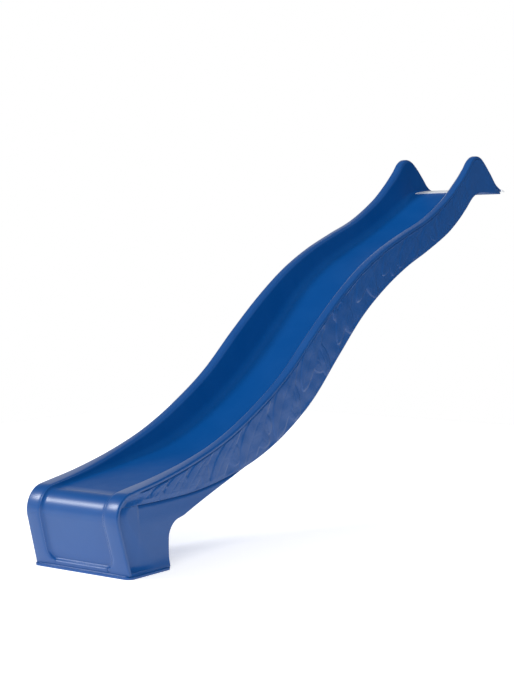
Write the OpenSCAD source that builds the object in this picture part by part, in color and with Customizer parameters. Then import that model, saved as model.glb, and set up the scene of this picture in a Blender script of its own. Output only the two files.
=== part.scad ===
// Wave slide for a garden platform: a hollow plastic trough on a moulded foot,
// with two raised hand guards and a fixing lip at the top.

/* [Overall] */
// Height of the deck that the top lip rests on
deck_h = 1494; // [1300:2:1600]
// Width over the rolled rims
slide_w = 440; // [420:2:480]
// Width of the foot over its base flange
foot_w = 472; // [456:2:520]

/* [Skins] */
// Wall thickness of the sliding shell
shell_t = 3.5; // [3:0.5:5]
// Wall thickness of the side walls, the skirts and the underside
skin_t = 3; // [3:0.5:4.5]
// Width of the rolled rim along the run
rim_w = 42; // [38:1:48]
// Width of the rim where it runs down the foot as a column
column_w = 66; // [60:1:72]
// How far the rim's outer edge turns down over the side wall
rim_drop = 12; // [10:1:14]

/* [Foot] */
// Depth of the foot, front to back, on the ground
foot_d = 242; // [232:2:252]
// Thickness of the base plate
base_t = 8; // [6:1:10]
// How far the front panel is set back between the columns
panel_set = 14; // [10:1:18]
// Radius over the nose, where the slide turns down to the ground
nose_r = 90; // [84:2:96]
// Diameter of the ground anchor holes
anchor_d = 12; // [8:0.5:14]
// Distance between the ground anchor holes
anchor_gap = 240; // [200:5:280]

/* [Top lip] */
// Thickness of the fixing strip
strip_t = 3; // [2:0.5:4]
// How far the fixing strip reaches past the lip
strip_tail = 40; // [30:1:50]
// Diameter of the fixing holes through the bushes
fix_d = 9; // [7:0.5:10]
// Distance between the fixing holes across the slide
fix_gap_y = 260; // [200:5:280]
// Distance between the fixing holes along the slide
fix_gap_x = 50; // [40:1:56]
// Diameter of the rivets that hold the strip
rivet_d = 5; // [4:0.5:6]

/* [Inside] */
// Number of webs between the bed and the underside
web_count = 9; // [5:1:12]
// Thickness of each web
web_t = 4; // [3:0.5:6]
// Diameter of the vent plugs
plug_d = 22; // [16:1:26]

/* [Hidden] */
$fn = 48;

blue = [0.07, 0.24, 0.50];
deep_blue = [0.05, 0.19, 0.42];
pale_metal = [0.80, 0.83, 0.86];

half_w = slide_w / 2;
fit_gap = 0.5;
design_deck_h = 1494;
rise = deck_h / design_deck_h;

// Stations along the slide, exit first: [rim x, rim z, bed x, bed z].
stations = [for (s = [
    [8, 307, 10, 292],
    [200, 341, 206, 315],
    [400, 390, 412, 344],
    [600, 457, 630, 385],
    [800, 552, 846, 466],
    [1000, 672, 1064, 582],
    [1200, 830, 1280, 732],
    [1400, 978, 1468, 880],
    [1600, 1104, 1650, 1014],
    [1800, 1200, 1836, 1114],
    [2000, 1275, 2030, 1192],
    [2200, 1346, 2234, 1268],
    [2400, 1447, 2450, 1366],
    [2520, 1530, 2580, 1434],
    [2610, 1606, 2672, 1478],
    [2655, 1651, 2726, 1496],
    [2704, 1673, 2762, 1502],
    [2762, 1662, 2805, 1508],
    [2862, 1594, 2870, 1514],
    [2926, 1543, 2926, 1515],
    [2985, 1518, 2985, 1515]
]) [s[0], s[1] * rise, s[2], s[3] * rise]];

// Lower edge of the side walls, and of the whole body past the foot: [x, z].
low_line = [for (s = [
    [-50, 257],
    [200, 257],
    [400, 266],
    [600, 296],
    [800, 346],
    [1000, 429],
    [1200, 550],
    [1400, 722],
    [1600, 889],
    [1800, 1014],
    [2000, 1111],
    [2200, 1188],
    [2400, 1274],
    [2520, 1345],
    [2600, 1404],
    [2670, 1460],
    [2730, 1486],
    [2800, 1494],
    [2985, 1494]
]) [s[0], s[1] * rise]];

// Lower edge of the foot's skirts, from the top of the back panel to the wall.
gusset_line = [for (s = [
    [300, 177],
    [400, 213],
    [600, 280],
    [790, 342]
]) [s[0], s[1] * rise]];

// Cubic interpolation through a list of points, measured along their chords.
function chord(p, i) =
    i == 0 ? 0
    : chord(p, i - 1) + norm([p[i][0] - p[i - 1][0], p[i][1] - p[i - 1][1]]);
function knots(p) = [for (i = [0 : len(p) - 1]) chord(p, i)];
function tangent(p, k, i) =
    let (a = max(i - 1, 0), b = min(i + 1, len(p) - 1))
    (p[b] - p[a]) / (k[b] - k[a]);
function span_at(k, s, i = 0) =
    i + 2 >= len(k) || s < k[i + 1] ? i : span_at(k, s, i + 1);
function curve_at(p, k, s) =
    let (i = span_at(k, s), h = k[i + 1] - k[i], t = (s - k[i]) / h)
    p[i] * (1 + 2 * t) * pow(1 - t, 2)
    + tangent(p, k, i) * h * t * pow(1 - t, 2)
    + p[i + 1] * t * t * (3 - 2 * t)
    + tangent(p, k, i + 1) * h * t * t * (t - 1);
function smooth(p, steps) =
    let (k = knots(p), end = k[len(k) - 1])
    [for (j = [0 : steps]) curve_at(p, k, end * j / steps)];

// Unit vector at right angles to a path of [x, z] points, towards its underside.
function path_normal(p, i) =
    let (a = p[max(i - 1, 0)], b = p[min(i + 1, len(p) - 1)], d = b - a)
    [d[1], -d[0]] / norm(d);
function shifted(p, by) = [for (i = [0 : len(p) - 1]) p[i] + by * path_normal(p, i)];
function reversed(p) = [for (i = [len(p) - 1 : -1 : 0]) p[i]];

// The front of the foot: a leaning face, then the arc over the nose.
run = smooth(stations, 84);
foot_front = -16;
foot_rear = foot_front + foot_d;
flange_reach = 8;
front_x = foot_front + flange_reach;
run_slope = atan2(run[1][1] - run[0][1], run[1][0] - run[0][0]);
nose_c = [run[0][0] + nose_r * sin(run_slope), run[0][1] - nose_r * cos(run_slope)];
nose_reach = nose_c - [front_x, base_t];
front_lean = atan2(-nose_reach[0], nose_reach[1]) + asin(nose_r / norm(nose_reach));
lean_run = sqrt(nose_reach * nose_reach - nose_r * nose_r);
front_steps = [0.02, 0.13, 0.2, 0.35, 0.65, 0.85];
front_face = [for (f = front_steps)
    [front_x, base_t] + f * lean_run * [-sin(front_lean), cos(front_lean)]];
nose_steps = 13;
nose_arc = [for (j = [0 : nose_steps - 1])
    let (a = 180 + front_lean
        - (front_lean + 90 - run_slope) * j / nose_steps)
    nose_c + nose_r * [cos(a), sin(a)]];
rim_path = concat(front_face, nose_arc, [for (s = run) [s[0], s[1]]]);

// The bed: flush with the columns at the foot of the panel, then set back.
panel_depths = [1, 1, panel_set, panel_set, panel_set, panel_set];
front_count = len(front_face) + len(nose_arc);
bed_path = [for (i = [0 : len(rim_path) - 1])
    i < len(front_face) ? rim_path[i] + panel_depths[i] * path_normal(rim_path, i)
    : i < front_count ? rim_path[i] + panel_set * (nose_c - rim_path[i]) / nose_r
    : [run[i - front_count][2], run[i - front_count][3]]];

front_edge = min([for (p = rim_path) p[0]]);
lip_end = stations[len(stations) - 1][0];
back_edge = lip_end + strip_tail;
centre_x = (front_edge + back_edge) / 2;

// Blend from the column width at the foot to the rim width of the run.
function ease(t) = let (c = max(0, min(1, t))) c * c * (3 - 2 * c);
blend_end = 520;
foot_half = foot_w / 2 - flange_reach;
skirt_top = low_line[0][1];
flare = atan2(foot_half - half_w, skirt_top);
function rim_width(p) = rim_w + (column_w - rim_w) * (1 - ease(p[0] / blend_end));
function half_width(p) = half_w + tan(flare) * max(0, skirt_top - p[1]);

// One cross-section of the sliding shell, from its left edge to its right edge.
wall_lean = 0.3;
edge_r = 5;
guard_start = 2480;
function steeper(p) = 1 - 0.7 * ease((p[0] - guard_start) / 220);
function lean_in(p, d) = wall_lean * min(d, 120) * steeper(p);
function fillet(p, d) = 0.28 * min(d, 90) * steeper(p);
function half_top(i) =
    let (r = rim_path[i], b = bed_path[i], n = path_normal(rim_path, i), d = norm(b - r),
         w = half_width(r), y = w - rim_width(r), lean = lean_in(r, d), f = fillet(r, d))
    [[w, r + rim_drop * n], [w, r + edge_r * n], [w - edge_r, r], [y + edge_r, r],
     [y, r + (b - r) * min(edge_r / d, 0.3)],
     [y - 0.72 * lean - 1, r + (b - r) * 0.72],
     [y - lean - 0.36 * f - 3, r + (b - r) * 0.94],
     [y - lean - f - 10, b], [0, b]];
function half_under(i) =
    let (r = rim_path[i], b = bed_path[i], n = path_normal(rim_path, i), d = norm(b - r),
         m = path_normal(bed_path, i), t = shell_t,
         w = half_width(r), y = w - rim_width(r), lean = lean_in(r, d), f = fillet(r, d))
    [[w - t, r + rim_drop * n], [w - t, r + (t + 1) * n], [w - t - 1, r + t * n],
     [y + edge_r + 1, r + t * n],
     [y + t, r + (b - r) * min(edge_r / d, 0.3) + t * n],
     [y - 0.72 * lean - 1 + t, r + (b - r) * 0.72 + 0.45 * t * m],
     [y - lean - 0.36 * f - 3 + 0.6 * t, r + (b - r) * 0.94 + 0.8 * t * m],
     [y - lean - f - 10, b + t * m], [0, b + t * m]];
function across(half) = concat(
    [for (q = half) [q[1][0], -q[0], q[1][1]]],
    [for (j = [len(half) - 2 : -1 : 0]) [half[j][1][0], half[j][0], half[j][1][1]]]);

// A skin with an upper and a lower surface, both given as rows of points.
module skin_between(top, under) {
    rows = len(top);
    cols = len(top[0]);
    all_points = [for (r = concat(top, under)) for (q = r) q];
    at = rows * cols;
    top_faces = [for (i = [0 : rows - 2]) for (j = [0 : cols - 2])
        each [[i * cols + j, (i + 1) * cols + j + 1, (i + 1) * cols + j],
              [i * cols + j, i * cols + j + 1, (i + 1) * cols + j + 1]]];
    under_faces = [for (f = top_faces) [f[0] + at, f[2] + at, f[1] + at]];
    side_faces = [for (i = [0 : rows - 2]) each [
        [i * cols, (i + 1) * cols, (i + 1) * cols + at, i * cols + at],
        [(i + 1) * cols - 1, (i + 1) * cols - 1 + at, (i + 2) * cols - 1 + at, (i + 2) * cols - 1]]];
    last = (rows - 1) * cols;
    end_faces = [for (j = [0 : cols - 2]) each [
        [j, j + at, j + 1 + at, j + 1],
        [last + j, last + j + 1, last + j + 1 + at, last + j + at]]];
    polyhedron(all_points, concat(top_faces, under_faces, side_faces, end_faces));
}

// A flat plate in the slide's side view, from y = from to y = from + thick.
module side_plate(outline, from, thick) {
    translate([0, from + thick, 0])
        rotate([90, 0, 0])
            linear_extrude(thick)
                polygon(outline);
}

module placed() {
    translate([-centre_x, 0, 0])
        children();
}

// Side view lines that more than one piece uses.
wall_out = half_w - shell_t - fit_gap;
low_path = [for (p = smooth(low_line, 72)) [p[0], min(p[1], deck_h)]];
gusset_path = smooth(gusset_line, 12);
under_rim = shifted(rim_path, shell_t + 1 + fit_gap);
function band(path, thick) = concat(path, reversed(shifted(path, -thick)));

module sliding_shell() {
    color(blue)
        placed()
            difference() {
                skin_between([for (i = [0 : len(rim_path) - 1]) across(half_top(i))],
                             [for (i = [0 : len(rim_path) - 1]) across(half_under(i))]);
                fixing_holes(bush_d + 0.2);
                rivet_holes(rivet_d + 0.2);
            }
}

module side_wall(from) {
    top = [for (p = under_rim) if (p[1] > skirt_top + fit_gap) p];
    color(blue)
        placed()
            side_plate(concat(low_path, reversed(top)), from, skin_t);
}

module left_side_wall() {
    side_wall(-wall_out);
}

module right_side_wall() {
    side_wall(wall_out - skin_t);
}

// The underside closes the hollow body between the side walls, past the foot.
// Its edges draw in where the leaning skirts stand beside it.
under_half = wall_out - skin_t - fit_gap;
underside_end = 2700;
gusset_end = gusset_line[len(gusset_line) - 1];
lean_start = 530;
module underside_plan() {
    drawn_in = under_half - tan(flare) * (gusset_end[1] - skirt_top) - fit_gap;
    right = [[0, under_half], [lean_start, under_half], [gusset_end[0], drawn_in],
             [gusset_end[0] + 4, drawn_in], [gusset_end[0] + 5, under_half],
             [underside_end, under_half]];
    polygon(concat(right, reversed([for (p = right) [p[0], -p[1]]])));
}

module underside_skin() {
    past = concat([for (p = low_path) if (p[0] > 800 && p[0] < underside_end) p],
                  [[underside_end, z_at(low_path, underside_end)]]);
    color(deep_blue)
        placed()
            intersection() {
                side_plate(band(concat(gusset_path, past), skin_t), -half_w, slide_w);
                linear_extrude(deck_h)
                    underside_plan();
            }
}

// The foot's skirts hang from the side walls' lower edge and flare outwards.
back_x = foot_rear - 4;
heel_r = 78;
heel_c = [back_x + heel_r, gusset_line[0][1] - 77];
heel_arc = [for (a = [180 : -9 : 99]) heel_c + heel_r * [cos(a), sin(a)]];
module foot_skirt(side) {
    hung = [for (p = low_path) if (p[0] < 780) p - [0, fit_gap]];
    front = [for (p = under_rim)
        if (p[0] < 60 && p[1] < skirt_top - 1 && p[1] > base_t + 1) p];
    outline = concat([[back_x, base_t + fit_gap]], heel_arc, gusset_path, reversed(hung),
                     reversed(front), [[front[0][0] + 2, base_t + fit_gap]]);
    color(blue)
        placed()
            mirror([0, side > 0 ? 0 : 1, 0])
                translate([0, wall_out, skirt_top])
                    rotate([flare, 0, 0])
                        translate([0, -wall_out, -skirt_top])
                            side_plate(outline, wall_out - skin_t, skin_t);
}

module left_foot_skirt() {
    foot_skirt(-1);
}

module right_foot_skirt() {
    foot_skirt(1);
}

// The back of the foot stands between the flared skirts.
module foot_back_panel() {
    inside = skin_t + 1;
    spread = skirt_top * tan(flare);
    heel = concat([[back_x, base_t + fit_gap]], heel_arc);
    color(deep_blue)
        placed()
            difference() {
                intersection() {
                    side_plate(band(heel, skin_t), -foot_w / 2, foot_w);
                    translate([-foot_w, 0, 0])
                        rotate([90, 0, 90])
                            linear_extrude(3 * foot_w)
                                polygon([[-wall_out - spread + inside, 0],
                                         [wall_out + spread - inside, 0],
                                         [wall_out - inside, skirt_top],
                                         [-wall_out + inside, skirt_top]]);
                }
                vent_positions()
                    cylinder(d = plug_d + 0.2, h = 40, center = true);
            }
}

module vent_positions() {
    for (y = [-90, 90])
        translate([back_x, y, 62])
            rotate([0, 90, 0])
                children();
}

// A flanged plate closes the foot and carries a tab with the anchor holes.
tab_l = 40;
module foot_base() {
    corner = 26;
    color(blue)
        placed()
            difference() {
                union() {
                    linear_extrude(base_t)
                        translate([foot_front + corner, -foot_w / 2 + corner])
                            union() {
                                translate([-corner, 0])
                                    square([foot_d, foot_w - 2 * corner]);
                                translate([0, -corner])
                                    square([foot_d - 2 * corner, foot_w]);
                                for (x = [0, foot_d - 2 * corner], y = [0, foot_w - 2 * corner])
                                    translate([x, y])
                                        circle(corner);
                            }
                    translate([foot_rear - 2, -anchor_gap / 2 - 30, 0])
                        cube([tab_l + 2, anchor_gap + 60, base_t]);
                }
                anchor_positions()
                    cylinder(d = anchor_d, h = 3 * base_t, center = true);
            }
}

module anchor_positions() {
    for (y = [-anchor_gap / 2, anchor_gap / 2])
        translate([foot_rear + tab_l / 2, y, base_t / 2])
            children();
}

// Positions of the fixing holes and of the rivets on the lip.
deck_z = deck_h;
fix_x = 2925;
bush_d = fix_d + 4;
module fixing_positions() {
    for (x = [-fix_gap_x / 2, fix_gap_x / 2], y = [-fix_gap_y / 2, fix_gap_y / 2])
        translate([fix_x + x, y, deck_z])
            children();
}

module fixing_holes(d) {
    fixing_positions()
        cylinder(d = d, h = 80, center = true);
}

rivet_x = 2945;
module rivet_positions() {
    for (y = [-66, 0, 66])
        translate([rivet_x, y, strip_low(rivet_x) + strip_t])
            children();
}

module rivet_holes(d) {
    rivet_positions()
        cylinder(d = d, h = 30, center = true);
}

// The lip's lower skin lies on the deck and turns up at the back.
module lip_underside() {
    start_x = underside_end + fit_gap;
    end_x = lip_end - 1;
    flat_x = 2800;
    upturn = 14;
    lower = concat([[start_x, z_at(low_path, start_x)]],
                   [for (p = low_path) if (p[0] > start_x + 5 && p[0] < flat_x - 8) p],
                   [[flat_x, deck_z], [end_x, deck_z]]);
    closed = concat(lower, [[end_x, deck_z + upturn], [end_x - skin_t, deck_z + upturn],
                            [end_x - skin_t, deck_z + skin_t]],
                    reversed([for (p = shifted(lower, -skin_t)) if (p[0] < flat_x + 8) p]));
    color(deep_blue)
        placed()
            difference() {
                side_plate(closed, -under_half, 2 * under_half);
                fixing_holes(bush_d + 0.2);
            }
}

// Bent metal strip: it lies on the lip between the hand guards and ends in a tail.
strip_gap = 0.4;
strip_half = 142;
strip_front = 2716;
function strip_low(x) = bed_z(x) + strip_gap;
module lip_strip() {
    tail_start = lip_end + 3;
    tail_drop = 9;
    lower = concat([[strip_front, strip_low(strip_front)]],
                   [for (p = bed_run) if (p[0] > strip_front && p[0] < lip_end - 5)
                       p + [0, strip_gap]],
                   [[tail_start, strip_low(lip_end - 1)],
                    [back_edge, strip_low(lip_end - 1) - tail_drop]]);
    color(pale_metal)
        placed()
            difference() {
                intersection() {
                    side_plate(concat(lower, [for (p = reversed(lower)) p + [0, strip_t]]),
                               -half_w, slide_w);
                    linear_extrude(2 * deck_h)
                        union() {
                            translate([strip_front - 10, -strip_half])
                                square([back_edge - strip_front + 10, 2 * strip_half]);
                            translate([tail_start, -half_w])
                                square([back_edge - tail_start, slide_w]);
                        }
                }
                fixing_holes(fix_d);
                rivet_holes(rivet_d + 0.2);
            }
}

// Bushes keep the hollow lip from being crushed by the fixing screws.
module lip_bushes() {
    height = 1515 * rise - deck_z;
    color("silver")
        placed()
            fixing_positions()
                difference() {
                    cylinder(d = bush_d, h = height);
                    translate([0, 0, -1])
                        cylinder(d = fix_d, h = height + 2);
                }
}

module strip_rivets() {
    head_r = rivet_d;
    head_h = rivet_d * 0.36;
    grip = strip_t + shell_t + 4;
    color("gainsboro")
        placed()
            rivet_positions() {
                translate([0, 0, -grip])
                    cylinder(d = rivet_d, h = grip + 0.5);
                rotate_extrude()
                    intersection() {
                        translate([0, head_h - (head_r * head_r + head_h * head_h) / (2 * head_h)])
                            circle((head_r * head_r + head_h * head_h) / (2 * head_h), $fn = 96);
                        translate([0, 0.1])
                            square([head_r, head_h]);
                    }
                translate([0, 0, -grip])
                    cylinder(d = rivet_d + 3, h = 3);
            }
}

// Webs stand between the bed and the underside, where a rider's weight lands.
module bed_webs() {
    web_half = 96;
    first_x = 420;
    last_x = 2480;
    gap = 1;
    color("lightsteelblue")
        placed()
            for (j = [0 : web_count - 1]) {
                x = first_x + (last_x - first_x) * j / (web_count - 1);
                foot_a = body_floor(x) + gap;
                foot_b = body_floor(x + web_t) + gap;
                head_a = bed_z(x) - gap - shell_drop(x);
                head_b = bed_z(x + web_t) - gap - shell_drop(x);
                side_plate([[x, foot_a], [x + web_t, foot_b], [x + web_t, head_b], [x, head_a]],
                           -web_half, 2 * web_half);
            }
}

function z_at(p, x, i = 0) =
    i + 2 >= len(p) || x < p[i + 1][0]
    ? p[i][1] + (p[i + 1][1] - p[i][1]) * (x - p[i][0]) / (p[i + 1][0] - p[i][0])
    : z_at(p, x, i + 1);
bed_run = [for (s = run) [s[2], s[3]]];
floor_run = concat(gusset_path, [for (p = low_path) if (p[0] > 800) p]);
function bed_z(x) = z_at(bed_run, x);
function steepness(p, x) = (z_at(p, x + 5) - z_at(p, x - 5)) / 10;
function shell_drop(x) = shell_t * sqrt(1 + pow(steepness(bed_run, x), 2));
function body_floor(x) = z_at(floor_run, x) + skin_t * sqrt(1 + pow(steepness(floor_run, x), 2));

module vent_plugs() {
    color(deep_blue)
        placed()
            vent_positions() {
                translate([0, 0, -skin_t - 1])
                    cylinder(d = plug_d, h = skin_t + 1.05);
                cylinder(d = plug_d + 8, h = 2.5);
            }
}

sliding_shell();
left_side_wall();
right_side_wall();
underside_skin();
left_foot_skirt();
right_foot_skirt();
foot_back_panel();
foot_base();
lip_underside();
lip_strip();
lip_bushes();
strip_rivets();
bed_webs();
vent_plugs();
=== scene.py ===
import math

import bmesh
import bpy
import numpy as np
from mathutils import Matrix, Vector


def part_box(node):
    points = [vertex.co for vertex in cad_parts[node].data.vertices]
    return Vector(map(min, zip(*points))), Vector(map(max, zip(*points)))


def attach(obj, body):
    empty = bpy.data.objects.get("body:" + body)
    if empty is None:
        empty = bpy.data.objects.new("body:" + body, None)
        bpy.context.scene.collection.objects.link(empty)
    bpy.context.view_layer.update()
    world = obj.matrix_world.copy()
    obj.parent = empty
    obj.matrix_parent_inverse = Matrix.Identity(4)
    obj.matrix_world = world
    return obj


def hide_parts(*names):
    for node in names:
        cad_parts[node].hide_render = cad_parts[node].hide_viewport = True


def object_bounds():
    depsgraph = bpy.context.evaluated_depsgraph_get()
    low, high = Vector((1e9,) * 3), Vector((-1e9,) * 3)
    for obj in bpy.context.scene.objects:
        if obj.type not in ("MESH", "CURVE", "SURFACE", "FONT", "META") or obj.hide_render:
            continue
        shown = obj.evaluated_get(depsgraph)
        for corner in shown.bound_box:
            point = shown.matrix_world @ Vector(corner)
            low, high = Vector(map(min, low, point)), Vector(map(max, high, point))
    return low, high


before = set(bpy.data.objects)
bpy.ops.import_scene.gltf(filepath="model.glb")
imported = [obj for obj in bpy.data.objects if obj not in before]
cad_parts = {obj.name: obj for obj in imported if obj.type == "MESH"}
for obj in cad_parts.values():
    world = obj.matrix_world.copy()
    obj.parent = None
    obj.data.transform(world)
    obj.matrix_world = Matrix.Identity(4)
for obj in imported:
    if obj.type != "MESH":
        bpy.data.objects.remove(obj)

cad_low, cad_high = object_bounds()

# The room: a plain pale floor, a dim room with two bright cloths on the far side,
# and three wide soft lamps. The camera stands low, beyond the foot.
scene = bpy.context.scene
scene.view_settings.view_transform = "Standard"
scene.view_settings.look = "None"

camera_data = bpy.data.cameras.new("view_camera")
camera_data.lens = 73.3
camera_data.sensor_width = 36.0
camera_data.clip_end = 200.0
camera_yaw = math.radians(35.4)
camera_pitch = math.radians(-2.925)
camera = bpy.data.objects.new("view_camera", camera_data)
camera.location = (-5.205, -3.423, 1.091)
camera.rotation_euler = (math.pi / 2 + camera_pitch, 0.0, camera_yaw - math.pi / 2)
scene.collection.objects.link(camera)
scene.camera = camera


def set_sockets(tree, node, sockets):
    """Gives each named socket its value, or a link from another node's output."""
    for name, value in sockets.items():
        if isinstance(value, bpy.types.NodeSocket):
            tree.links.new(value, node.inputs[name])
        else:
            node.inputs[name].default_value = value


def add_node(tree, kind, sockets=None, **settings):
    """A new node with its settings made before its sockets are filled."""
    node = tree.nodes.new(kind)
    for name, value in settings.items():
        setattr(node, name, value)
    set_sockets(tree, node, sockets or {})
    return node


def add_math(tree, operation, *terms, clamped=False):
    """The result of one sum on the given terms."""
    node = add_node(tree, "ShaderNodeMath", operation=operation, use_clamp=clamped)
    set_sockets(tree, node, dict(enumerate(terms)))
    return node.outputs[0]


white = (1.0, 1.0, 1.0, 1.0)
room_level, backdrop_level = 0.12, 1.0
cloths = (("front_cloth", (-0.72, 0.68, 0.12), 0.45, 0.92, 0.6),
          ("back_cloth", (0.74, 0.64, 0.22), 0.90, 0.98, 0.55))
world = bpy.data.worlds.new("studio")
world.use_nodes = True
scene.world = world
tree = world.node_tree
tree.nodes.clear()
direction = add_node(tree, "ShaderNodeTexCoord").outputs["Generated"]
light_level = add_node(tree, "ShaderNodeValue").outputs[0]
light_level.default_value = room_level
for name, towards, edge, full, strength in cloths:
    facing = add_node(tree, "ShaderNodeVectorMath", {0: direction, 1: Vector(towards).normalized()},
                      name=name, operation="DOT_PRODUCT")
    cloth = add_node(tree, "ShaderNodeMapRange",
                     {"Value": facing.outputs["Value"], "From Min": edge, "From Max": full,
                      "To Max": strength}, interpolation_type="SMOOTHSTEP")
    light_level = add_math(tree, "ADD", light_level, cloth.outputs[0])
seen = add_node(tree, "ShaderNodeLightPath").outputs["Is Camera Ray"]
seen_level = add_node(tree, "ShaderNodeMix", {"Factor": seen, "A": light_level, "B": backdrop_level},
                      data_type="FLOAT")
backdrop = add_node(tree, "ShaderNodeBackground",
                    {"Color": white, "Strength": seen_level.outputs["Result"]})
add_node(tree, "ShaderNodeOutputWorld", {"Surface": backdrop.outputs[0]})


def soft_lamp(name, comes_from, strength, spread, mirrored):
    """A far, wide lamp with soft shadows. Unless mirrored, it leaves no gloss."""
    data = bpy.data.lights.new(name, "SUN")
    data.energy = strength
    data.angle = math.radians(spread)
    lamp = bpy.data.objects.new(name, data)
    lamp.rotation_euler = Vector(comes_from).to_track_quat("Z", "Y").to_euler()
    lamp.visible_glossy = mirrored
    scene.collection.objects.link(lamp)


soft_lamp("front_lamp", (-0.50, -0.60, 0.62), 1.75, 60, False)
soft_lamp("top_lamp", (-0.15, 0.0, 0.99), 0.4, 60, False)
soft_lamp("nose_lamp", (-0.54, 0.58, 0.61), 1.5, 18, True)

ground_half = 3.8
bm = bmesh.new()
bmesh.ops.create_grid(bm, x_segments=1, y_segments=1, size=ground_half)
floor_mesh = bpy.data.meshes.new("floor")
bm.to_mesh(floor_mesh)
bm.free()
floor = bpy.data.objects.new("floor", floor_mesh)
scene.collection.objects.link(floor)
floor_paint = bpy.data.materials.new("pale_floor")
floor_paint.use_nodes = True
floor_mesh.materials.append(floor_paint)
set_sockets(floor_paint.node_tree, floor_paint.node_tree.nodes["Principled BSDF"], {
    "Base Color": (0.93, 0.93, 0.93, 1.0), "Roughness": 0.9, "Specular IOR Level": 0.1,
    "Emission Color": white, "Emission Strength": 0.45})


# The sliding shell: the trough that the rider slides in. It is blow-moulded
# polyethylene, one skin from rim to rim, and runs over the nose and down the
# front of the foot between two columns.
MM = 0.001
deck_h, slide_w, shell_t, nose_r = 1494.0, 440.0, 3.5, 90.0
foot_w, foot_front, flange, base_t = 472.0, -16.0, 8.0, 8.0
rim_w, rim_drop, rim_edge_r, rim_crown = 42.0, 12.0, 6.0, 1.6
column_w, column_end = 66.0, 520.0
panel_set, panel_low, panel_bevel, corner_high, corner_wide = 14.0, 30.0, 9.0, 46.0, 34.0
guard_start, guard_end, lip_start = 2500.0, 2860.0, 2450.0
half_w = slide_w / 2
# The side view, from the exit: x and z on top of the rim, then x and z in the bed.
stations = np.array([
    (8, 307, 10, 292), (200, 341, 206, 315), (400, 390, 412, 344), (600, 457, 630, 385),
    (800, 552, 846, 466), (1000, 672, 1064, 582), (1200, 830, 1280, 732),
    (1400, 978, 1468, 880), (1600, 1104, 1650, 1014), (1800, 1200, 1836, 1114),
    (2000, 1275, 2030, 1192), (2200, 1346, 2234, 1268), (2400, 1447, 2450, 1366),
    (2520, 1530, 2580, 1434), (2610, 1606, 2672, 1478), (2655, 1651, 2726, 1496),
    (2704, 1673, 2762, 1502), (2762, 1662, 2805, 1508), (2862, 1594, 2870, 1514),
    (2926, 1543, 2926, 1515), (2985, 1518, 2985, 1515)], dtype=float)
# The lower edge of the side wall, x and z.
low_line = np.array([
    (-50, 257), (200, 257), (400, 266), (600, 296), (800, 346), (1000, 429), (1200, 550),
    (1400, 722), (1600, 889), (1800, 1014), (2000, 1111), (2200, 1188), (2400, 1274),
    (2520, 1345), (2600, 1404), (2670, 1460), (2730, 1486), (2800, 1494), (2985, 1494)],
    dtype=float)


def lengths_along(points):
    """How far along the line each of its points lies."""
    steps = np.linalg.norm(np.diff(points[:, :2], axis=0), axis=1)
    return np.concatenate([[0.0], np.cumsum(steps)])


def smooth_line(points, count):
    """The curve through the points, at count + 1 even steps of its chords."""
    knots = lengths_along(points)
    last = len(points) - 1
    before = np.maximum(np.arange(last + 1) - 1, 0)
    after = np.minimum(np.arange(last + 1) + 1, last)
    slopes = (points[after] - points[before]) / (knots[after] - knots[before])[:, None]
    at = np.linspace(0, knots[-1], count + 1)
    i = np.clip(np.searchsorted(knots, at, side="right") - 1, 0, last - 1)
    span = (knots[i + 1] - knots[i])[:, None]
    t = ((at - knots[i]) / span[:, 0])[:, None]
    return (points[i] * (1 + 2 * t) * (1 - t) ** 2 + slopes[i] * span * t * (1 - t) ** 2
            + points[i + 1] * t * t * (3 - 2 * t) + slopes[i + 1] * span * t * t * (t - 1))


def underside_normal(points):
    """Unit vectors at right angles to a side-view line, towards its underside."""
    ahead = np.gradient(points[:, :2], axis=0)
    out = np.stack([ahead[:, 1], -ahead[:, 0]], axis=1)
    return out / np.linalg.norm(out, axis=1)[:, None]


def ease(t):
    """A soft step from 0 to 1."""
    c = np.clip(t, 0.0, 1.0)
    return c * c * (3 - 2 * c)


def within(x, start, rise, end, fall):
    """Rises softly from 0 to 1 after start, and falls softly back after end."""
    return ease((x - start) / rise) * (1 - ease((x - end) / fall))


# The nose is an arc between the foot's leaning front and the first slope of the run.
run_steps, slope_steps, front_steps, nose_steps = 360, 84, 50, 48
run = smooth_line(stations, run_steps)
first_step = smooth_line(stations, slope_steps)[1] - stations[0]
run_slope = math.atan2(first_step[1], first_step[0])
nose_centre = stations[0, :2] + nose_r * np.array([math.sin(run_slope), -math.cos(run_slope)])
front_foot = np.array([foot_front + flange, base_t])
nose_reach = nose_centre - front_foot
reach_len = np.linalg.norm(nose_reach)
front_lean = math.atan2(-nose_reach[0], nose_reach[1]) + math.asin(nose_r / reach_len)
front_len = math.sqrt(reach_len ** 2 - nose_r ** 2)
up_the_front = np.array([-math.sin(front_lean), math.cos(front_lean)])

# Up the front, the rows lie closest over the panel's lower ledge.
low_rows, ledge_rows = 4, 26
first_row, ledge_start, ledge_end = 0.006, 0.07, 0.19
face_at = np.concatenate([
    np.linspace(first_row, ledge_start, low_rows, endpoint=False),
    np.linspace(ledge_start, ledge_end, ledge_rows, endpoint=False),
    np.linspace(ledge_end, 1, front_steps - low_rows - ledge_rows, endpoint=False)])
face = front_foot + face_at[:, None] * front_len * up_the_front
nose_sweep = front_lean + math.pi / 2 - run_slope
turn = math.pi + front_lean - nose_sweep * np.arange(nose_steps) / nose_steps
arc = nose_centre + nose_r * np.stack([np.cos(turn), np.sin(turn)], axis=1)
rim_line = np.concatenate([face, arc, run[:, :2]])
rim_normal = underside_normal(rim_line)

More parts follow.
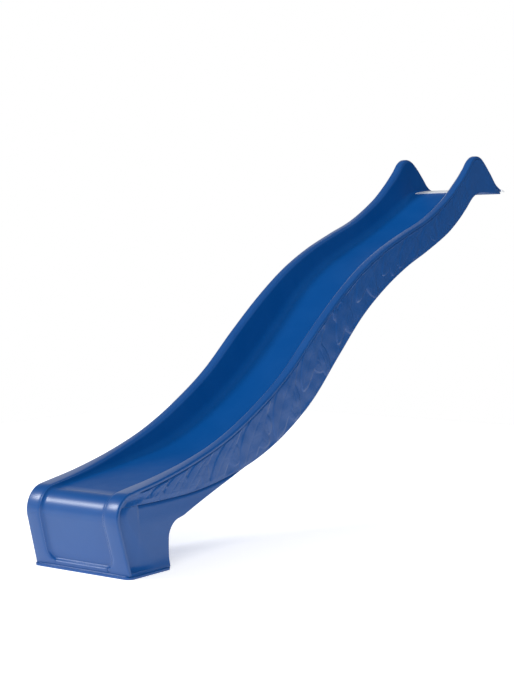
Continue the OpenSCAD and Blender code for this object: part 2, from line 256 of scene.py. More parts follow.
# Between the columns the front is a sunk panel. The bed carries on from it, over
# the nose and down into the trough.
set_in = 1.0 + (panel_set - 1.0) * ease((face[:, 1] - panel_low + panel_bevel / 2) / panel_bevel)
face_bed = face + set_in[:, None] * rim_normal[:front_steps]
arc_bed = arc + panel_set * (nose_centre - arc) / nose_r
bed_line = np.concatenate([face_bed, arc_bed, run[:, 2:]])
cad_shift = cad_low.x / MM - (nose_centre[0] - nose_r)

row_count = len(rim_line)
rim_x, rim_z = rim_line[:, 0], rim_line[:, 1]
skirt_top = low_line[0, 1]
flare = math.atan2(foot_w / 2 - flange - half_w, skirt_top)
half_wide = half_w + math.tan(flare) * np.maximum(0, skirt_top - rim_z)
on_front = np.arange(row_count) < front_steps
corner_rise = np.clip((rim_z - panel_low) / corner_high, 0, 1)
panel_corner = corner_wide * (1 - np.sqrt(1 - (1 - corner_rise) ** 2))
rim_wide = rim_w + (column_w - rim_w) * (1 - ease(rim_x / column_end))
rim_wide = rim_wide + np.where(on_front, panel_corner, 0.0)
depth = np.linalg.norm(bed_line - rim_line, axis=1)
into_bed = (bed_line - rim_line) / depth[:, None]
steeper = 1 - 0.7 * ease((rim_x - 2480.0) / 220.0)
wall_in = 3.0 + 0.3 * np.minimum(depth, 120) * steeper
fillet = 0.28 * np.minimum(depth, 90) * steeper
guard = within(rim_x, guard_start, 130.0, guard_end, 100.0)

# The steps in each stretch of the cross-section, from the rim's edge to the middle.
OUTER_EDGE, OUTER_TURN, RIM_TOP, INNER_TURN, WALL, BED_TURN, BED = 3, 6, 6, 7, 6, 9, 11


def turned(a, corner, b, count):
    """A corner rounded off from a to b."""
    t = (np.arange(count) / count)[None, :, None]
    return ((1 - t) ** 2 * a[:, None] + 2 * t * (1 - t) * corner[:, None] + t * t * b[:, None])


def straight(a, b, count, last=False):
    """A straight stretch from a to b."""
    t = np.linspace(0, 1, count, endpoint=last)[None, :, None]
    return (1 - t) * a[:, None] + t * b[:, None]


def section_point(y, along_normal, along_depth):
    """One point of every cross-section, as x, y, z in the side view's millimetres."""
    side = rim_line + along_normal[:, None] * rim_normal + along_depth[:, None] * into_bed
    return np.stack([side[:, 0], y, side[:, 1]], axis=1)


zero = np.zeros(row_count)
inner_r = np.minimum(13.0 + 9.0 * guard, rim_wide * 0.42)
inner_down = np.minimum(inner_r, 0.45 * depth)
inner_y = half_wide - rim_wide
wall_foot_y = inner_y - wall_in
fillet_up = np.minimum(fillet + 5, 0.45 * depth)
bed_y = wall_foot_y - fillet - 9

edge_low = section_point(half_wide, zero + rim_drop, zero)
edge_high = section_point(half_wide, zero + rim_edge_r, zero)
edge_corner = section_point(half_wide, zero, zero)
rim_out = section_point(half_wide - rim_edge_r, zero, zero)
rim_in = section_point(inner_y + inner_r, zero, zero)
wall_corner = section_point(inner_y, zero, zero)
wall_high = section_point(inner_y - wall_in * inner_down / depth, zero, inner_down)
wall_low = section_point(wall_foot_y + wall_in * fillet_up / depth, zero, depth - fillet_up)
bed_corner = section_point(wall_foot_y, zero, depth)
bed_edge = section_point(bed_y, zero, depth)
bed_mid = section_point(zero, zero, depth)
half_section = np.concatenate([
    straight(edge_low, edge_high, OUTER_EDGE), turned(edge_high, edge_corner, rim_out, OUTER_TURN),
    straight(rim_out, rim_in, RIM_TOP), turned(rim_in, wall_corner, wall_high, INNER_TURN),
    straight(wall_high, wall_low, WALL), turned(wall_low, bed_corner, bed_edge, BED_TURN),
    straight(bed_edge, bed_mid, BED, last=True)], axis=1)

# A slight crown on the rim and a slight dish in the bed.
across = np.abs(half_section[:, :, 1])
over_rim = np.clip((half_wide[:, None] - across) / rim_wide[:, None], 0, 1)
sink = (0.3 + rim_crown * (2 * over_rim - 1) ** 2) * (across > inner_y[:, None])
over_bed = 1 - (across / np.maximum(wall_foot_y, 1)[:, None]) ** 2
dish = 3.0 * within(rim_x, 60.0, 300.0, lip_start, 200.0)
dip = dish[:, None] * np.clip(over_bed, 0, 1) * (across < wall_foot_y[:, None])
for amount, normal in ((sink, rim_normal), (dip, underside_normal(bed_line))):
    half_section[:, :, ::2] += amount[:, :, None] * normal[:, None, :]

left_half = half_section * np.array([1, -1, 1])
right_half = half_section[:, -2::-1]
shell_points = np.concatenate([left_half, right_half], axis=1)


def to_frame(points):
    """Side-view millimetres to the frame's metres."""
    moved = points + np.array([cad_shift, 0.0, 0.0])
    return moved * MM


def grid_piece(points, uv):
    """A sheet of quads whose rows and columns follow the given points."""
    rows, cols = points.shape[:2]
    bm = bmesh.new()
    bmesh.ops.create_grid(bm, x_segments=rows - 1, y_segments=cols - 1, size=1.0)
    bm.verts.ensure_lookup_table()
    placed = np.array([v.co for v in bm.verts])
    row = np.rint((placed[:, 0] + 1) / 2 * (rows - 1)).astype(int)
    col = np.rint((placed[:, 1] + 1) / 2 * (cols - 1)).astype(int)
    spots = to_frame(points)[row, col]
    layer = bm.loops.layers.uv.new("surface")
    for v, spot in zip(bm.verts, spots):
        v.co = spot
    flat = uv[row, col]
    for f in bm.faces:
        f.smooth = True
        for loop in f.loops:
            loop[layer].uv = flat[loop.vert.index]
    return bm


def finished(name, bm, material, slot, *nodes):
    """Turns a bmesh into a piece that stands for the given CAD nodes."""
    mesh = bpy.data.meshes.new(name)
    bm.to_mesh(mesh)
    bm.free()
    mesh.materials.append(material)
    piece = bpy.data.objects.new(name, mesh)
    scene.collection.objects.link(piece)
    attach(piece, "root")
    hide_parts(*nodes)
    return piece


def crisp(bm, degrees):
    """Smooth shading except over edges sharper than the given angle."""
    limit = math.radians(degrees)
    for f in bm.faces:
        f.smooth = True
    for e in bm.edges:
        e.smooth = not e.is_manifold or e.calc_face_angle(0.0) < limit


def group_socket(group, name, way, kind, value=None):
    """A named input or output of a node group."""
    socket = group.interface.new_socket(name, in_out=way, socket_type=kind)
    if value is not None:
        socket.default_value = value


# Moulded grain: the fine pebble that the mould leaves in polyethylene, over the
# slow swell of a skin that shrank as it cooled.
grain = bpy.data.node_groups.new("moulded_grain", "ShaderNodeTree")
group_socket(grain, "Grain Size", "INPUT", "NodeSocketFloat", 900.0)
group_socket(grain, "Swell Size", "INPUT", "NodeSocketFloat", 9.0)
group_socket(grain, "Swell", "INPUT", "NodeSocketFloat", 0.5)
group_socket(grain, "Height", "OUTPUT", "NodeSocketFloat")
grain_in = add_node(grain, "NodeGroupInput").outputs
place = add_node(grain, "ShaderNodeTexCoord").outputs["Object"]
pebble = add_node(grain, "ShaderNodeTexNoise",
                  {"Vector": place, "Scale": grain_in["Grain Size"], "Detail": 3.0})
swell = add_node(grain, "ShaderNodeTexNoise",
                 {"Vector": place, "Scale": grain_in["Swell Size"], "Detail": 1.0})
fine = add_math(grain, "MULTIPLY", pebble.outputs["Fac"], 0.03)
height = add_math(grain, "MULTIPLY_ADD", swell.outputs["Fac"], grain_in["Swell"], fine)
add_node(grain, "NodeGroupOutput", {"Height": height})

# Pigment: the faint clouds and flow lines of dyed plastic.
pigment = bpy.data.node_groups.new("pigment_flow", "ShaderNodeTree")
group_socket(pigment, "Colour", "INPUT", "NodeSocketColor", (0.0, 0.06, 0.25, 1.0))
group_socket(pigment, "Paler", "INPUT", "NodeSocketColor", (0.01, 0.08, 0.28, 1.0))
group_socket(pigment, "Amount", "INPUT", "NodeSocketFloat", 0.5)
group_socket(pigment, "Colour", "OUTPUT", "NodeSocketColor")
dye_in = add_node(pigment, "NodeGroupInput").outputs
place = add_node(pigment, "ShaderNodeTexCoord").outputs["Object"]
clouds = add_node(pigment, "ShaderNodeTexNoise",
                  {"Vector": place, "Scale": 5.0, "Detail": 5.0, "Roughness": 0.6, "Distortion": 0.6})
cloudy = add_node(pigment, "ShaderNodeMapRange",
                  {"Value": clouds.outputs["Fac"], "From Min": 0.35, "From Max": 0.7})
paler_share = add_math(pigment, "MULTIPLY", cloudy.outputs[0], dye_in["Amount"])
mixed = add_node(pigment, "ShaderNodeMix",
                 {"Factor": paler_share, "A": dye_in["Colour"], "B": dye_in["Paler"]}, data_type="RGBA")
add_node(pigment, "NodeGroupOutput", {"Colour": mixed.outputs["Result"]})


def plastic(name, colour, paler, roughness):
    """Moulded polyethylene with its grain and pigment."""
    made = bpy.data.materials.new(name)
    made.use_nodes = True
    tree = made.node_tree
    dye = add_node(tree, "ShaderNodeGroup",
                   {"Colour": (*colour, 1.0), "Paler": (*paler, 1.0), "Amount": 0.5}, node_tree=pigment)
    skin = add_node(tree, "ShaderNodeGroup", {"Swell": 0.5}, node_tree=grain)
    bump = add_node(tree, "ShaderNodeBump",
                    {"Height": skin.outputs["Height"], "Strength": 0.25, "Distance": 0.002})
    place = add_node(tree, "ShaderNodeTexCoord").outputs["Object"]
    sheen = add_node(tree, "ShaderNodeTexNoise", {"Vector": place, "Scale": 14.0, "Detail": 4.0})
    polish = add_node(tree, "ShaderNodeMapRange",
                      {"Value": sheen.outputs["Fac"], "To Min": roughness - 0.05,
                       "To Max": roughness + 0.06})
    set_sockets(tree, tree.nodes["Principled BSDF"], {
        "IOR": 1.5, "Base Color": dye.outputs["Colour"], "Roughness": polish.outputs[0],
        "Normal": bump.outputs["Normal"]})
    return made


blue = (0.0015, 0.064, 0.255)
pale_blue = (0.006, 0.078, 0.285)
slide_blue = plastic("slide_blue_plastic", blue, pale_blue, 0.40)

along = lengths_along(rim_line) * MM
around = np.concatenate([[0.0], np.cumsum(
    np.linalg.norm(np.diff(shell_points[row_count // 2], axis=0), axis=1))]) * MM
shell_uv = np.stack(np.broadcast_arrays(along[:, None], around[None, :]), axis=2)

# The bed is rubbed matt by riders and marked with fine lines down the slide. The
# rims and the front of the foot keep the mould's gloss.
rubbed_blue = (0.012, 0.10, 0.32, 1.0)
middle = float(around[-1]) / 2
rim_end = float(around[OUTER_EDGE + OUTER_TURN + RIM_TOP + INNER_TURN])
front_end = float(along[front_steps + nose_steps])
tree = slide_blue.node_tree
shader = tree.nodes["Principled BSDF"]
surface = add_node(tree, "ShaderNodeUVMap", uv_map="surface").outputs["UV"]
spot = add_node(tree, "ShaderNodeSeparateXYZ", {0: surface}).outputs
to_side = add_math(tree, "ABSOLUTE", add_math(tree, "SUBTRACT", spot["Y"], middle))
on_rim = add_node(tree, "ShaderNodeMapRange",
                  {"Value": to_side, "From Min": middle - rim_end, "From Max": middle - rim_end + 0.008})
at_front = add_node(tree, "ShaderNodeMapRange",
                    {"Value": spot["X"], "From Min": front_end + 0.05, "From Max": front_end - 0.02})
glossy = add_math(tree, "MAXIMUM", on_rim.outputs[0], at_front.outputs[0])
lengthways = add_node(tree, "ShaderNodeMapping", {"Vector": surface, "Scale": (5.0, 700.0, 1.0)})
scratches = add_node(tree, "ShaderNodeTexNoise",
                     {"Vector": lengthways.outputs[0], "Scale": 1.0, "Detail": 3.0})
scratched = add_node(tree, "ShaderNodeMapRange",
                     {"Value": scratches.outputs["Fac"], "From Min": 0.60, "From Max": 0.78, "To Max": 0.5})
on_bed = add_math(tree, "SUBTRACT", scratched.outputs[0], glossy, clamped=True)
dyed = shader.inputs["Base Color"].links[0].from_socket
marked = add_node(tree, "ShaderNodeMix", {"Factor": on_bed, "A": dyed, "B": rubbed_blue},
                  data_type="RGBA")
set_sockets(tree, shader, {
    "IOR": 1.15, "Coat IOR": 1.5, "Coat Roughness": 0.29, "Coat Weight": glossy,
    "Base Color": marked.outputs["Result"]})

bm = grid_piece(shell_points, shell_uv)
bmesh.ops.recalc_face_normals(bm, faces=bm.faces)
bed_face = min(bm.faces, key=lambda f: (f.calc_center_median() - Vector((0.0, 0.0, 0.8))).length)
if bed_face.normal.z < 0:
    bmesh.ops.reverse_faces(bm, faces=bm.faces)
bmesh.ops.solidify(bm, geom=bm.faces[:], thickness=(shell_t - 0.3) * MM)
crisp(bm, 50)
shell = finished("trough", bm, slide_blue, "slide_plastic", "sliding_shell")

# Holes in the lip for the four bushes and the three rivets.
lip_z, drill_long = 1515.0, 40.0
bush_x, bush_along, bush_aside, bush_hole = 2925.0, 25.0, 130.0, 13.2
rivet_x, rivet_aside, rivet_hole = 2945.0, 66.0, 5.2
drills = [(bush_x + dx, dy, bush_hole) for dx in (-bush_along, bush_along)
          for dy in (-bush_aside, bush_aside)]
drills += [(rivet_x, dy, rivet_hole) for dy in (-rivet_aside, 0.0, rivet_aside)]
bm = bmesh.new()
for x, y, wide in drills:
    stand = Matrix.Translation(((x + cad_shift) * MM, y * MM, lip_z * MM))
    bmesh.ops.create_cone(bm, cap_ends=True, segments=32, radius1=wide / 2 * MM,
                          radius2=wide / 2 * MM, depth=drill_long * MM, matrix=stand)
drill_mesh = bpy.data.meshes.new("drills")
bm.to_mesh(drill_mesh)
bm.free()
drill = bpy.data.objects.new("drills", drill_mesh)
scene.collection.objects.link(drill)
cut = shell.modifiers.new("holes", "BOOLEAN")
cut.solver = "MANIFOLD"
cut.object = drill
settled = shell.evaluated_get(bpy.context.evaluated_depsgraph_get())
drilled = bpy.data.meshes.new_from_object(settled)
shell.modifiers.clear()
shell.data = drilled
bpy.data.objects.remove(drill)

# The side walls hang from the rims. Each is one polyethylene skin with a raised leaf
# pattern moulded into it, a bead along its top edge higher up, and a rounded lower edge.
seam_gap, wall_t, bead_most = 0.5, 7.0, 3.6
wall_tuck = shell_t + 1.5
wall_out = half_w - shell_t - seam_gap
wall_back = wall_out - wall_t
low_steps, wall_columns = 720, 1000
low_path = smooth_line(low_line, low_steps)
low_path[:, 1] = np.minimum(low_path[:, 1], deck_h)
under_rim = rim_line + wall_tuck * rim_normal
tip_row = int(np.argmax(under_rim[:, 1] > skirt_top + 1.5))
top_edge = under_rim[tip_row:]
top_along = lengths_along(top_edge)
nose_row = front_steps + nose_steps - tip_row

# Where the lower edge is, in x, below each of the side view's stations.
low_marks = [2, 215, 435, 657, 892, 1127, 1335, 1510, 1685, 1865, 2051, 2255, 2479, 2614,
             2700, 2745, 2790, 2835, 2895, 2935, 2985]
run_along = np.interp(stations[:, 0], rim_x[tip_row + nose_row:], top_along[nose_row:])
mark_along = np.concatenate([[0.0], run_along])
mark_low = np.concatenate([[low_line[0, 0] + 1.0], low_marks])
at_top = np.linspace(0, top_along[-1], wall_columns)
top_points = np.stack([np.interp(at_top, top_along, top_edge[:, k]) for k in (0, 1)], axis=1)
low_x = np.interp(at_top, mark_along, mark_low)
low_points = np.stack([low_x, np.interp(low_x, low_path[:, 0], low_path[:, 1])], axis=1)
wall_height = np.linalg.norm(low_points - top_points, axis=1)
wall_down = (low_points - top_points) / wall_height[:, None]

TOP_ROWS, LEAF_ROWS, ROLL_ROWS = 10, 46, 6
top_band, edge_roll = 26.0, 3.5
top_share = np.minimum(top_band / wall_height, 0.3)
roll_r = np.minimum(edge_roll, 0.2 * wall_height)
roll_share = 1 - roll_r / wall_height
shares = np.concatenate([
    np.linspace(0, 1, TOP_ROWS, endpoint=False)[:, None] * top_share,
    top_share + np.linspace(0, 1, LEAF_ROWS, endpoint=False)[:, None] * (roll_share - top_share)])
roll_turn = np.linspace(0, math.pi / 2, ROLL_ROWS)[:, None]
roll_shares = roll_share + np.sin(roll_turn) * roll_r / wall_height
roll_in = np.concatenate([np.zeros_like(shares), (1 - np.cos(roll_turn)) * roll_r])
shares = np.concatenate([shares, roll_shares])
down = shares * wall_height
wall_side = top_points[None] + down[:, :, None] * wall_down[None]

# The leaves: long ones that point down the slope to the rim, and shorter ones
# between them that point up at it. Each lies over the one before it.
leaf_rng = np.random.default_rng(11)
leaf_drop = 15.0
top_slope = np.gradient(top_points, axis=0)
top_slope /= np.linalg.norm(top_slope, axis=1)[:, None]


def leaf(relief, tip_at, length, width, lean, bend, edge, dome):
    """Lays one leaf over the relief: tip under the rim at tip_at, lean from square."""
    i = int(np.clip(np.searchsorted(at_top, tip_at), 1, wall_columns - 2))
    slope, square = top_slope[i], wall_down[i]
    square = square - slope * (square @ slope)
    square /= np.linalg.norm(square)
    axis = -(math.cos(lean) * square + math.sin(lean) * slope)
    side = np.array([-axis[1], axis[0]])
    stalk = top_points[i] + leaf_drop * square - axis * length
    away = wall_side - stalk
    reach = away @ axis
    t = np.clip(reach / length, 1e-4, 1 - 1e-4)
    u = away @ side - bend * length * 4 * t * (1 - t)
    half = width * 2.75 * t ** 0.6 * (1 - t) ** 0.9
    inside = (reach > 0) & (reach < length) & (np.abs(u) < half)
    q = np.abs(u) / half
    rib = -0.7 * np.exp(-(u / 3.4) ** 2) * np.clip((1 - t) * 3, 0, 1)
    vein_step = 0.19 * length
    to_vein = (((t * length - 0.9 * np.abs(u)) / vein_step) % 1.0 - 0.5) * vein_step
    veins = -0.35 * np.exp(-(to_vein / 3.6) ** 2) * (1 - q ** 2) * (q > 0.06)
    own = edge + dome * (1 - q ** 2) + rib + veins
    over = ease((half - np.abs(u)) / 5.0) * inside
    return relief * (1 - over) + own * over


relief = np.full(down.shape, -0.8)
local_scale = np.clip(wall_height / 205.0, 0.3, 1.0)
leaves_start, leaves_stop, leaf_step = 120.0, 420.0, 270.0
tip_at = leaves_start
while tip_at < top_along[-1] - leaves_stop:
    size = float(np.interp(tip_at + 60, at_top, local_scale))
    j = leaf_rng.uniform(-1, 1, 6)
    # The place, length, width, lean in degrees, bend, edge height and dome of the four
    # leaves in a spray. The same six random numbers, j, vary them all.
    spray = ((88 + 22 * j[4], 190 + 40 * j[0], 42 + 10 * j[3], 26 + 14 * j[1], 0.05, 0.6, 1.3),
             (178 + 26 * j[5], 175 + 44 * j[2], 38 + 9 * j[1], -8 + 16 * j[3], -0.06, 0.8, 1.2),
             (0, 400 + 60 * j[5], 56 + 9 * j[2], -64 + 6 * j[0], 0.08, 0.9, 1.2),
             (128 + 24 * j[0], 62, 15, -34 + 20 * j[4], 0.0, 1.5, 0.4))
    for place, length, width, lean, bend, edge, dome in spray:
        relief = leaf(relief, tip_at + place * size, length * size, width * size,
                      math.radians(lean), bend, edge, dome)
    tip_at += (leaf_step + 44 * j[1]) * size

# The sheet between the leaves is softly dented, more so low on the slide.
side_x, side_z = wall_side[:, :, 0], wall_side[:, :, 1]
dent_count, dent_deep = 9, 0.32
dents = np.zeros_like(relief)
for _ in range(dent_count):
    wave = leaf_rng.uniform(70, 170)
    heading = leaf_rng.uniform(0, math.pi)
    phase = leaf_rng.uniform(0, 6.3)
    walked = side_x * math.cos(heading) + side_z * math.sin(heading)
    dents += np.sin(walked * 2 * math.pi / wave + phase)
relief = relief + dent_deep * dents * np.clip(wall_height / 150.0, 0.3, 1.0)

# The leaves fade out at the wall's ends and edges. A bead takes over from a groove
# along the top edge, and beside the guard the wall comes out flush with the rim.
start_leaf = ease((side_x - 62.0) / 24.0)
end_leaf = 1 - ease((at_top - (top_along[-1] - 520)) / 130.0)[None, :]
low_fade = ease((wall_height - 3.0 - down) / 16.0)
relief = relief * ease((down - 9.0) / 8.0) * start_leaf * end_leaf * low_fade
upper_half = within(side_x, 1050.0, 350.0, 2560.0, 100.0)
bead = 2.3 * np.exp(-((down - 15.0) / 2.6) ** 2) * upper_half
groove = -3.4 * np.exp(-((down - 9.5) / 3.0) ** 2) * (1 - upper_half) * start_leaf
flush = 3.3 * within(side_x, 2545.0, 90.0, 2900.0, 60.0) * within(down, 7.5, 2.5, 50.0, 90.0)

# Behind each column the side is hollowed, deepest at the column's edge.
hollow_deep = 14.0
front_rows = slice(0, front_steps + nose_steps + 40, 2)


def hollow(x, z):
    """How far the side is pushed in at each point, from its distance to the rim."""
    near = np.full(x.shape, 1e9)
    for rx, rz in rim_line[front_rows]:
        near = np.minimum(near, np.hypot(x - rx, z - rz))
    reach = 42.0 + 95.0 * ease((skirt_top - z) / 250.0)
    above = 1 - ease((z - 262.0) / 40.0)
    fades = above * (x < 260) * ease((z - 10.0) / 26.0)
    return -hollow_deep * (1 - ease((near - 13.0) / reach)) * fades


seam = 0.1 + 0.9 * ease((side_x - 46.0) / 16.0)
crease = -1.3 * np.exp(-((side_x - 58.0) / 2.8) ** 2) * ease((300.0 - side_z) / 30.0)
raised = relief + bead + groove + flush + hollow(side_x, side_z) + crease - roll_in * seam
wall_y = np.clip(wall_out + raised, wall_back + 0.3, wall_out + bead_most)
wall_points = np.stack([side_x, wall_y, side_z], axis=2).transpose(1, 0, 2)
wall_uv = np.stack(np.broadcast_arrays(at_top[:, None] * MM, -down.T * MM), axis=2)


def closed_back(bm, back_y):
    """Takes the sheet's open edge straight in to a flat back and closes it."""
    rim_edges = [e for e in bm.edges if e.is_boundary]
    grown = bmesh.ops.extrude_edge_only(bm, edges=rim_edges)["geom"]
    for v in (g for g in grown if isinstance(g, bmesh.types.BMVert)):
        v.co.y = back_y
    back_edges = [g for g in grown if isinstance(g, bmesh.types.BMEdge) and g.is_boundary]
    bmesh.ops.contextual_create(bm, geom=back_edges)
    bmesh.ops.recalc_face_normals(bm, faces=bm.faces)


wall_blue = plastic("side_wall_blue_plastic", blue, pale_blue, 0.37)
for name, side, node in (("leaf_wall_left", -1, "left_side_wall"),
                         ("leaf_wall_right", 1, "right_side_wall")):
    bm = grid_piece(wall_points * np.array([1, side, 1]), wall_uv)
    closed_back(bm, side * wall_back * MM)
    crisp(bm, 50)
    finished(name, bm, wall_blue, "slide_plastic", node)


# The foot's skirts carry the side walls down to the ground, in the same plastic. They
# lean outwards to the base and stand a little inside the wall's lower edge, which
# throws a dark line over them.
skirt_t, foot_back, heel_r, heel_drop = 3.0, 222.0, 78.0, 77.0
gusset_line = np.array([(300, 177), (400, 213), (600, 280), (790, 342)], dtype=float)
gusset_path = smooth_line(gusset_line, 60)
heel_centre = np.array([foot_back + heel_r, gusset_line[0, 1] - heel_drop])
heel_turn = np.radians(np.arange(180, 98.9, -3.0))
heel_arc = heel_centre + heel_r * np.stack([np.cos(heel_turn), np.sin(heel_turn)], axis=1)
ground_z = base_t + 0.6
ground_line = np.linspace([-5.0, ground_z], [foot_back, ground_z], 20)
skirt_low = np.concatenate([ground_line, heel_arc, gusset_path[2:]])
low_run = lengths_along(skirt_low)
heel_start = low_run[len(ground_line) - 1]
heel_end = low_run[len(ground_line) + len(heel_arc) - 1]
skirt_columns, skirt_rows = 170, 64
skirt_top_x = np.linspace(-47.0, 780.0, skirt_columns)
on_low = np.interp(skirt_top_x, [-47, 40, 150, 205, 300, 780],
                   [0, 75, heel_start - 30, heel_start + 35, heel_end, low_run[-1] - 6])
skirt_top_z = np.interp(skirt_top_x, low_path[:, 0], low_path[:, 1]) - 0.6
skirt_head = np.stack([skirt_top_x, skirt_top_z], axis=1)
skirt_foot = np.stack([np.interp(on_low, low_run, skirt_low[:, k]) for k in (0, 1)], axis=1)
share = np.linspace(0, 1, skirt_rows)[:, None, None]
skirt_side = skirt_head[None] * (1 - share) + skirt_foot[None] * share
sx, sz = skirt_side[:, :, 0], skirt_side[:, :, 1]
rising = slice(0, front_steps + nose_steps // 2)
front_x = np.interp(sz[:, 0], under_rim[rising, 1], under_rim[rising, 0])
sx += (front_x - sx[:, 0])[:, None] * (1 - ease((sx - sx[:, :1]) / 150.0))
lean_out = math.tan(flare) * np.maximum(0, skirt_top - sz)
seam_drop = np.interp(sx, skirt_top_x, skirt_top_z) - sz
behind_column = ease((sx - 50.0) / 14.0)
set_back = -3.2 * behind_column * (1 - 0.75 * ease((seam_drop - 8.0) / 70.0))
skirt_crease = -1.6 * np.exp(-((sx - 58.0) / 3.0) ** 2) * ease((sz - 195.0) / 25.0)
foot_edge = np.linalg.norm(skirt_foot - skirt_head, axis=1)[None, :] * (1 - share[:, :, 0])
back_roll = 4.0 * (1 - np.sqrt(1 - np.clip(1 - foot_edge / 4.0, 0, 1) ** 2)) * (sz > base_t + 4)
lap_groove = -4.5 * np.exp(-(seam_drop / 6.5) ** 2) * behind_column
foot_flare = 5.5 * (1 - ease((sz - base_t) / 55.0)) ** 2
skirt_y = wall_out + lean_out + set_back + skirt_crease + hollow(sx, sz)
skirt_y = skirt_y - back_roll + foot_flare + lap_groove
skirt_points = np.stack([sx, skirt_y, sz], axis=2).transpose(1, 0, 2)
skirt_uv = skirt_points[:, :, [0, 2]] * MM


def thickened(bm, inwards):
    """Gives a nearly flat sheet its thickness, with a second face moved inwards."""
    outer_edges = [e for e in bm.edges if e.is_boundary]
    copied = bmesh.ops.duplicate(bm, geom=bm.verts[:] + bm.edges[:] + bm.faces[:])
    inner = [g for g in copied["geom"] if isinstance(g, bmesh.types.BMVert)]
    inner_edges = [copied["edge_map"][e] for e in outer_edges]
    bmesh.ops.translate(bm, verts=inner, vec=inwards)
    bmesh.ops.bridge_loops(bm, edges=outer_edges + inner_edges)
    bmesh.ops.recalc_face_normals(bm, faces=bm.faces)


foot_blue = plastic("foot_blue_plastic", blue, pale_blue, 0.37)
for name, side, node in (("foot_skirt_left", -1, "left_foot_skirt"),
                         ("foot_skirt_right", 1, "right_foot_skirt")):
    bm = grid_piece(skirt_points * np.array([1, side, 1]), skirt_uv)
    thickened(bm, Vector((0.0, -side * (skirt_t - 0.5) * MM, 0.0)))
    crisp(bm, 50)
    finished(name, bm, foot_blue, "slide_plastic", node)


# The base is a flanged plate of the same plastic that closes the foot, with a curved
# fillet up to the columns and a tab behind for the ground anchors.
def cad_copy(node):
    """The frame's own solid with its doubled corners and flat seams taken out."""
    bm = bmesh.new()
    bm.from_mesh(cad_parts[node].data)
    bmesh.ops.remove_doubles(bm, verts=bm.verts, dist=1e-5)
    bmesh.ops.dissolve_limit(bm, angle_limit=math.radians(0.5), verts=bm.verts, edges=bm.edges)
    return bm


def rounded_edges(bm, width, segments=2, degrees=30):
    """Rounds every edge that is sharper than the given angle."""
    limit = math.radians(degrees)
    sharp = [e for e in bm.edges if e.is_manifold and e.calc_face_angle(0.0) > limit]
    bmesh.ops.bevel(bm, geom=sharp, offset=width * MM, segments=segments, profile=0.5,
                    affect="EDGES", material=-1, clamp_overlap=True)


plate_deep, flange_round, fillet_start, fillet_corner = 242.0, 3.0, 4.0, 23.0
bm = cad_copy("foot_base")
rounded_edges(bm, flange_round, 4)
crisp(bm, 40)
base_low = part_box("foot_base")[0]
fillet_long = plate_deep - 2 * (flange - fillet_start)
fillet_wide = foot_w - 2 * (flange - fillet_start)
fillet_at = Vector((base_low.x + plate_deep / 2 * MM, 0, (base_t - 0.4) * MM))
fillet_bm = bmesh.new()
bmesh.ops.create_grid(fillet_bm, x_segments=1, y_segments=1, size=0.5)
bmesh.ops.transform(fillet_bm, verts=fillet_bm.verts, matrix=Matrix.Translation(fillet_at)
                    @ Matrix.Diagonal((fillet_long * MM, fillet_wide * MM, 1, 1)))
bmesh.ops.bevel(fillet_bm, geom=fillet_bm.verts[:], offset=fillet_corner * MM, segments=8,
                profile=0.5, affect="VERTICES", material=-1)

# Each ring of the fillet steps in and up from the one below it.
top = fillet_bm.faces[:]
centre = Matrix.Translation((fillet_at.x, 0, 0))
for step_in, step_up in ((0.9, 0.7), (1.4, 0.9), (1.2, 1.5), (0.9, 2.2), (0.7, 3.2), (0.6, 4.2),
                         (10.0, 0.4)):
    grown = bmesh.ops.extrude_face_region(fillet_bm, geom=top)["geom"]
    bmesh.ops.delete(fillet_bm, geom=top, context="FACES_ONLY")
    top = [g for g in grown if isinstance(g, bmesh.types.BMFace)]
    ring = [g for g in grown if isinstance(g, bmesh.types.BMVert)]
    shrink = Matrix.Diagonal((1 - 2 * step_in / fillet_long, 1 - 2 * step_in / fillet_wide, 1, 1))
    fillet_long, fillet_wide = fillet_long - 2 * step_in, fillet_wide - 2 * step_in
    bmesh.ops.transform(fillet_bm, verts=ring, matrix=centre @ shrink @ centre.inverted())
    bmesh.ops.translate(fillet_bm, verts=ring, vec=(0, 0, step_up * MM))
bmesh.ops.holes_fill(fillet_bm, edges=[e for e in fillet_bm.edges if e.is_boundary], sides=0)
bmesh.ops.recalc_face_normals(fillet_bm, faces=fillet_bm.faces)
crisp(fillet_bm, 60)
fillet_mesh = bpy.data.meshes.new("fillet")
fillet_bm.to_mesh(fillet_mesh)
fillet_bm.free()
bm.from_mesh(fillet_mesh)
finished("foot_flange", bm, foot_blue, "slide_plastic", "foot_base")

# The foot's back and the lip's lower skin close the hollow body, and two plugs fill
# the vent holes of its moulding. All are plain polyethylene with rounded edges.
for name, node, width, slot in (("foot_heel", "foot_back_panel", 1.0, "underside_plastic"),
                                ("lip_lower_skin", "lip_underside", 1.2, "underside_plastic"),
                                ("vent_plug_pair", "vent_plugs", 0.7, "plug_plastic")):
    bm = cad_copy(node)
    rounded_edges(bm, width, 3)
    crisp(bm, 35)
    finished(name, bm, foot_blue, slot, node)


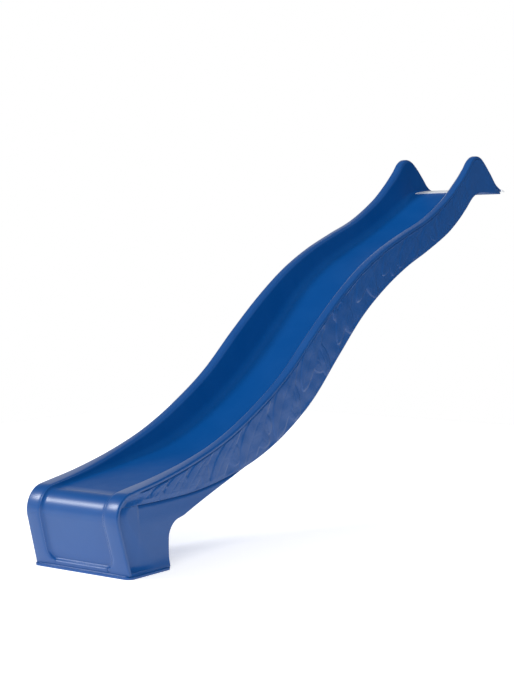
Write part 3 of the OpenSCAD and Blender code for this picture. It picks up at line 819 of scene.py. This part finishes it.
# The underside closes the hollow body, in one sheet from the heel to the lip. It is
# pinched up in nine places, where it reaches the webs under the rider.
belly_rows, belly_columns, belly_half = 400, 49, 208.0
web_count, web_first, web_last, web_half, web_t = 9, 420.0, 2480.0, 96.0, 4.0
pinch_deep, pinch_half, pinch_side = 13.0, 26.0, 26.0
belly_run = low_path[(low_path[:, 0] > 800) & (low_path[:, 0] < 2699)]
belly_line = np.concatenate([gusset_path, belly_run])
belly_along = lengths_along(belly_line)
at_belly = np.linspace(0, belly_along[-1], belly_rows)
belly_side = np.stack([np.interp(at_belly, belly_along, belly_line[:, k]) for k in (0, 1)], axis=1)
belly_normal = underside_normal(belly_side)
web_x = np.linspace(web_first, web_last, web_count) + web_t / 2
pinch = np.zeros(belly_rows)
for x in web_x:
    at = at_belly[np.argmin(np.abs(belly_side[:, 0] - x))]
    near = np.clip(np.abs(at_belly - at) / pinch_half, 0, 1)
    pinch = np.maximum(pinch, np.cos(near * math.pi / 2) ** 2)
belly_y = np.linspace(-1, 1, belly_columns)
belly_y = belly_half * np.sign(belly_y) * np.abs(belly_y) ** 0.95
pinch_wide = 1 - ease((np.abs(belly_y) - web_half - 4.0) / pinch_side)
lift = pinch_deep * pinch[:, None] * pinch_wide[None, :]
belly_points = np.stack([
    belly_side[:, None, 0] - lift * belly_normal[:, None, 0],
    np.broadcast_to(belly_y[None, :], lift.shape),
    belly_side[:, None, 1] - lift * belly_normal[:, None, 1]], axis=2)
belly_uv = np.stack(np.broadcast_arrays(at_belly[:, None] * MM, belly_y[None, :] * MM), axis=2)
bm = grid_piece(belly_points, belly_uv)
bmesh.ops.recalc_face_normals(bm, faces=bm.faces)
bm.faces.ensure_lookup_table()
if bm.faces[len(bm.faces) // 2].normal.z > 0:
    bmesh.ops.reverse_faces(bm, faces=bm.faces)
bmesh.ops.solidify(bm, geom=bm.faces[:], thickness=(skirt_t - 0.2) * MM)
crisp(bm, 50)
finished("underside", bm, foot_blue, "underside_plastic", "underside_skin")

# The webs tie the bed to the pinches, so that the bed doesn't flex. Each is a plate
# of the same plastic, cut short here to end on top of its pinch.
web_lift, web_foot = 18.0, 25.0
bm = cad_copy("bed_webs")
for v in bm.verts:
    own_x = min(web_x, key=lambda x: abs((x + cad_shift) * MM - v.co.x))
    belly_z = np.interp(own_x, belly_side[:, 0], belly_side[:, 1])
    if v.co.z < (belly_z + web_foot) * MM:
        v.co.z += web_lift * MM
crisp(bm, 35)
web_blue = plastic("web_blue_plastic", blue, pale_blue, 0.5)
finished("web_set", bm, web_blue, "web_plastic", "bed_webs")


# The fixing strip: a bent length of aluminium on the lip, held by three rivets,
# over four steel bushes for the fixing screws.
def brushed_metal(name, colour, roughness, bare=1.0):
    """Metal with fine brush lines. Lacquered metal is less bare, so it looks paler."""
    made = bpy.data.materials.new(name)
    made.use_nodes = True
    tree = made.node_tree
    place = add_node(tree, "ShaderNodeTexCoord").outputs["Object"]
    stretch = add_node(tree, "ShaderNodeMapping", {"Vector": place, "Scale": (900.0, 12.0, 900.0)})
    brushing = add_node(tree, "ShaderNodeTexNoise",
                        {"Vector": stretch.outputs[0], "Scale": 1.0, "Detail": 4.0})
    lines = brushing.outputs["Fac"]
    darker = [c * 0.86 for c in colour]
    tint = add_node(tree, "ShaderNodeMix", {"Factor": lines, "A": (*darker, 1.0), "B": (*colour, 1.0)},
                    data_type="RGBA")
    polish = add_node(tree, "ShaderNodeMapRange",
                      {"Value": lines, "To Min": roughness - 0.08, "To Max": roughness + 0.10})
    bump = add_node(tree, "ShaderNodeBump", {"Height": lines, "Strength": 0.15, "Distance": 0.0005})
    set_sockets(tree, tree.nodes["Principled BSDF"], {
        "Metallic": bare, "Base Color": tint.outputs["Result"], "Roughness": polish.outputs[0],
        "Normal": bump.outputs["Normal"]})
    return made


aluminium = brushed_metal("strip_aluminium", (0.88, 0.91, 0.95), 0.42, bare=0.25)
steel = brushed_metal("bush_steel", (0.62, 0.63, 0.65), 0.35)
for name, node, width, material, slot in (
        ("fixing_strip", "lip_strip", 0.5, aluminium, "strip_metal"),
        ("screw_bushes", "lip_bushes", 0.4, steel, "bush_metal"),
        ("strip_rivet_set", "strip_rivets", 0.2, aluminium, "rivet_metal")):
    bm = cad_copy(node)
    rounded_edges(bm, width, 2)
    crisp(bm, 35)
    finished(name, bm, material, slot, node)
